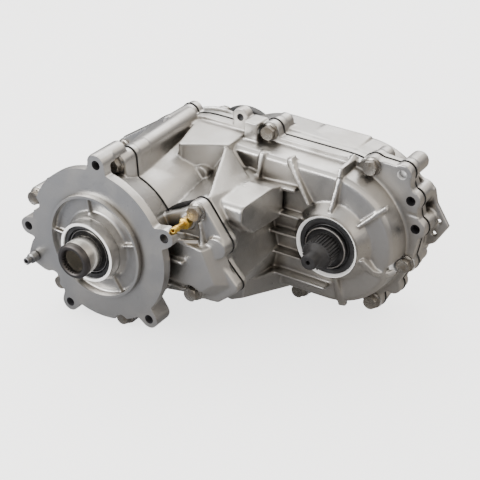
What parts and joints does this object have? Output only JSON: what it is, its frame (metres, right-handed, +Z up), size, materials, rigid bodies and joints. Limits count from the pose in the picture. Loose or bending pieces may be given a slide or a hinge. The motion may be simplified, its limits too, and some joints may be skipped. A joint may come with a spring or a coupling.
{
  "type": "transfer case",
  "caption": "Chain-driven two-speed transfer case: ribbed cast housing with an input flange, a splined front output and a flanged rear output.",
  "frame": {"origin": "centre of the input pilot register on the machined flange face", "axes": "+X towards the front output axis, +Y along the shafts towards the rear output, +Z up"},
  "size_m": [0.4208, 0.364, 0.2155],
  "materials": {
    "cast_aluminium": "as-cast satin, machined where faces seat",
    "sealant_black": "matt bead",
    "bolt_steel": "zinc grey",
    "seal_rubber": "satin",
    "bearing_steel": "ground",
    "gear_steel": "hobbed, oiled",
    "ground_steel": "ground",
    "phosphated_steel": "dark phosphate",
    "brass": "turned",
    "black_paint": "black",
    "chain_steel": "oiled",
    "sensor_plastic": "matt",
    "fork_alloy": "die cast",
    "magnet_iron": "matt"
  },
  "bodies": {
    "housing": {"input_housing": "cast_aluminium", "front_case": "cast_aluminium", "rear_case": "cast_aluminium", "tail_housing": "cast_aluminium", "housing_sealant": "sealant_black", "case_sealant": "sealant_black", "tail_sealant": "sealant_black", "adapter_bolts": "bolt_steel", "case_bolts": "bolt_steel", "tail_bolts": "bolt_steel", "case_dowels": "bolt_steel", "flange_stud": "bolt_steel", "vent_fitting": "brass", "input_seal": "seal_rubber", "front_output_seal": "seal_rubber", "rear_output_seal": "seal_rubber", "input_bearing_outer": "bearing_steel", "input_bearing_clip": "bolt_steel", "rear_bearing_outer": "bearing_steel", "front_bearing_outer": "bearing_steel", "front_bearing_clip": "bolt_steel", "front_tail_bearing_outer": "bearing_steel", "annulus_gear": "gear_steel", "drive_chain": "chain_steel", "speed_sensor": "sensor_plastic", "oil_pump_housing": "fork_alloy", "oil_pickup": "bolt_steel", "shift_rail": "ground_steel", "sump_magnet": "magnet_iron"},
    "input": {"input_shaft": "ground_steel", "input_bearing_inner": "bearing_steel", "pilot_bearing": "bearing_steel"},
    "carrier": {"planet_carrier": "gear_steel", "planet_pins": "ground_steel"},
    "planet_1": {"planet_gear_1": "gear_steel"},
    "planet_2": {"planet_gear_2": "gear_steel"},
    "planet_3": {"planet_gear_3": "gear_steel"},
    "planet_4": {"planet_gear_4": "gear_steel"},
    "output": {"mainshaft": "ground_steel", "rear_bearing_inner": "bearing_steel", "rear_flange": "black_paint", "rear_flange_nut": "bolt_steel", "tone_ring": "gear_steel", "oil_pump_rotor": "gear_steel"},
    "range_hub": {"range_hub": "gear_steel"},
    "mode_hub": {"mode_hub": "gear_steel"},
    "drive_sprocket": {"drive_sprocket": "gear_steel", "sprocket_needles": "bearing_steel"},
    "front_output": {"front_output_shaft": "phosphated_steel", "driven_sprocket": "gear_steel", "front_bearing_inner": "bearing_steel", "front_tail_bearing_inner": "bearing_steel", "dust_slinger": "bolt_steel"},
    "range_fork": {"range_fork": "fork_alloy"},
    "mode_fork": {"mode_fork": "fork_alloy"},
    "shift_cam": {"shift_cam": "gear_steel"}
  },
  "joints": [
    {"name": "input_spin", "type": "hinge", "parent": "housing", "child": "input", "pos_m": [0, 0, 0], "axis": [0, 1, 0], "continuous": true},
    {"name": "carrier_spin", "type": "hinge", "parent": "housing", "child": "carrier", "pos_m": [0, 0.05, 0], "axis": [0, 1, 0], "continuous": true},
    {"name": "planet_1_spin", "type": "hinge", "parent": "carrier", "child": "planet_1", "pos_m": [0.044, 0.049, 0], "axis": [0, 1, 0], "continuous": true},
    {"name": "planet_2_spin", "type": "hinge", "parent": "carrier", "child": "planet_2", "pos_m": [0, 0.049, 0.044], "axis": [0, 1, 0], "continuous": true},
    {"name": "planet_3_spin", "type": "hinge", "parent": "carrier", "child": "planet_3", "pos_m": [-0.044, 0.049, 0], "axis": [0, 1, 0], "continuous": true},
    {"name": "planet_4_spin", "type": "hinge", "parent": "carrier", "child": "planet_4", "pos_m": [0, 0.049, -0.044], "axis": [0, 1, 0], "continuous": true},
    {"name": "output_spin", "type": "hinge", "parent": "housing", "child": "output", "pos_m": [0, 0.25, 0], "axis": [0, 1, 0], "continuous": true},
    {"name": "range_hub_slide", "type": "slide", "parent": "output", "child": "range_hub", "axis": [0, 1, 0], "range_m": [-0.009, 0.009]},
    {"name": "mode_hub_slide", "type": "slide", "parent": "output", "child": "mode_hub", "axis": [0, 1, 0], "range_m": [0, 0.009]},
    {"name": "drive_sprocket_spin", "type": "hinge", "parent": "housing", "child": "drive_sprocket", "pos_m": [0, 0.184, 0], "axis": [0, 1, 0], "continuous": true},
    {"name": "front_output_spin", "type": "hinge", "parent": "housing", "child": "front_output", "pos_m": [0.20479, 0.15, 0], "axis": [0, 1, 0], "continuous": true},
    {"name": "cam_turn", "type": "hinge", "parent": "housing", "child": "shift_cam", "pos_m": [0.104, 0.108, 0.03], "axis": [0, 1, 0], "range_deg": [-60, 60]},
    {"name": "range_fork_slide", "type": "slide", "parent": "housing", "child": "range_fork", "axis": [0, 1, 0], "range_m": [-0.009, 0.009]},
    {"name": "mode_fork_slide", "type": "slide", "parent": "housing", "child": "mode_fork", "axis": [0, 1, 0], "range_m": [0, 0.009]}
  ],
  "couplings": [
    {"joint": "carrier_spin", "follows": "input_spin", "ratio": 0.375},
    {"joint": "planet_1_spin", "follows": "input_spin", "ratio": -1.875},
    {"joint": "planet_2_spin", "follows": "input_spin", "ratio": -1.875},
    {"joint": "planet_3_spin", "follows": "input_spin", "ratio": -1.875},
    {"joint": "planet_4_spin", "follows": "input_spin", "ratio": -1.875},
    {"joint": "drive_sprocket_spin", "follows": "front_output_spin", "ratio": 1},
    {"joint": "range_fork_slide", "follows": "range_hub_slide", "ratio": 1},
    {"joint": "cam_turn", "follows": "range_hub_slide", "rad_per_m": -116.3},
    {"joint": "mode_fork_slide", "follows": "mode_hub_slide", "ratio": 1}
  ]
}
